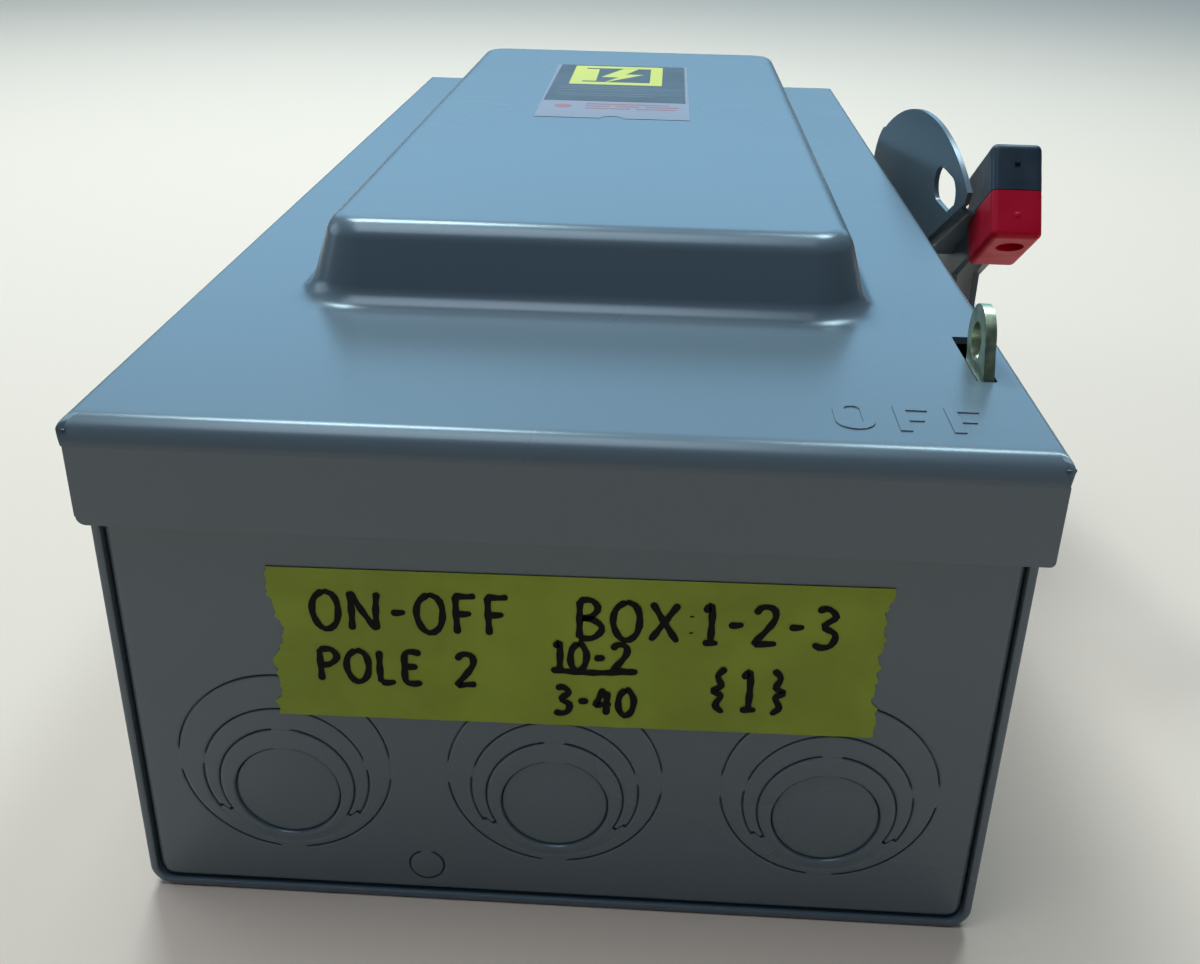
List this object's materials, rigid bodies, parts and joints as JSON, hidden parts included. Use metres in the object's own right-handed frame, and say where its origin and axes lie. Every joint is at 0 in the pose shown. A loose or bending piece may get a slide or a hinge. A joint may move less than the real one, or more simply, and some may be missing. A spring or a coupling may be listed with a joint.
{
  "type": "fusible safety switch",
  "caption": "Wall-mounted sheet-metal switch box with a side lever that turns two knife blades, fuses, a hinged lift-up cover with padlock latch, and round wiring knockouts in both ends",
  "frame": {"origin": "centre of the flat back face, which lies on the wall in use and on the table in the stored pose", "axes": "+Z out through the cover, +Y along the length towards the line (supply) end, +X towards the side with the handle, so the handle's end with the tape faces -Y"},
  "size_m": [0.2224, 0.3956, 0.1325],
  "materials": {
    "blue_gray_enamel": "semi-gloss enamel on sheet steel",
    "yellow_zinc": "yellow-passivated zinc on steel",
    "bright_steel": "bright zinc-plated steel",
    "copper": "plain copper, satin",
    "aluminium": "tin-plated, satin",
    "brass": "turned brass",
    "black_moulding": "moulded, satin",
    "red_moulding": "moulded, semi-gloss",
    "clear_shield": "smoky translucent sheet",
    "fuse_fibre": "vulcanised fibre tube",
    "label_black": "printed label film, satin",
    "green_tape": "creped paper masking tape"
  },
  "bodies": {
    "enclosure": {"enclosure_wrapper": "blue_gray_enamel", "bottom_end_wall": "blue_gray_enamel", "top_end_wall": "blue_gray_enamel", "marking_tape": "green_tape", "shaft_bush": "brass", "lock_plate": "blue_gray_enamel", "latch_keeper": "bright_steel", "hinge_body_leaf_1": "blue_gray_enamel", "hinge_body_leaf_2": "blue_gray_enamel", "hinge_pin_1": "bright_steel", "hinge_pin_2": "bright_steel", "mechanism_plate": "bright_steel", "drive_spring": "bright_steel", "crossbar_bracket_left": "bright_steel", "crossbar_bracket_right": "bright_steel", "line_base": "black_moulding", "load_base": "black_moulding", "line_jaw_1": "copper", "line_jaw_2": "copper", "load_jaw_1": "copper", "load_jaw_2": "copper", "line_lug_1": "aluminium", "line_lug_1_screw": "bright_steel", "line_lug_2": "aluminium", "line_lug_2_screw": "bright_steel", "load_lug_1": "aluminium", "load_lug_1_screw": "bright_steel", "load_lug_2": "aluminium", "load_lug_2_screw": "bright_steel", "line_fuse_clip_1": "copper", "line_fuse_clip_2": "copper", "load_fuse_clip_1": "copper", "load_fuse_clip_2": "copper", "fuse_1": "fuse_fibre", "fuse_2": "fuse_fibre", "line_shield": "clear_shield", "neutral_insulator": "black_moulding", "neutral_bar": "copper", "neutral_lug_1": "aluminium", "neutral_lug_2": "aluminium", "ground_lug": "aluminium"},
    "lift_cover": {"cover": "blue_gray_enamel", "label_plate": "label_black", "latch_guide": "bright_steel", "interlock_catch": "bright_steel", "latch_spring": "bright_steel", "hinge_cover_leaf_1": "blue_gray_enamel", "hinge_cover_leaf_2": "blue_gray_enamel"},
    "latch": {"cover_latch": "yellow_zinc"},
    "handle": {"handle_lever": "blue_gray_enamel", "grip_black": "black_moulding", "grip_red": "red_moulding", "handle_shaft": "bright_steel", "drive_crank": "bright_steel", "handle_nut": "bright_steel"},
    "interlock": {"interlock_lever": "yellow_zinc"},
    "blade_bar": {"crossbar": "black_moulding", "blade_1": "copper", "blade_2": "copper"}
  },
  "joints": [
    {"name": "cover_hinge", "type": "hinge", "parent": "enclosure", "child": "lift_cover", "pos_m": [-0.0925, 0, 0.0876], "axis": [0, -1, 0], "range_deg": [0, 110]},
    {"name": "latch_slide", "type": "slide", "parent": "lift_cover", "child": "latch", "axis": [0, 1, 0], "range_m": [0, 0.008], "stiffness_N_per_m": 200, "springref_m": -0.005, "deforming": ["latch_spring"]},
    {"name": "handle_turn", "type": "hinge", "parent": "enclosure", "child": "handle", "pos_m": [0.112, 0.028, 0.06], "axis": [-1, 0, 0], "range_deg": [0, 88], "deforming": ["drive_spring"]},
    {"name": "crossbar_turn", "type": "hinge", "parent": "enclosure", "child": "blade_bar", "pos_m": [0, 0.028, 0.06], "axis": [-1, 0, 0], "range_deg": [0, 66.5]},
    {"name": "interlock_turn", "type": "hinge", "parent": "enclosure", "child": "interlock", "pos_m": [0.07, 0.062, 0.08], "axis": [-1, 0, 0], "range_deg": [0, 18]}
  ],
  "couplings": [
    {"joint": "crossbar_turn", "follows": "handle_turn", "ratio": 0.75},
    {"joint": "interlock_turn", "follows": "handle_turn", "ratio": 0.2}
  ]
}
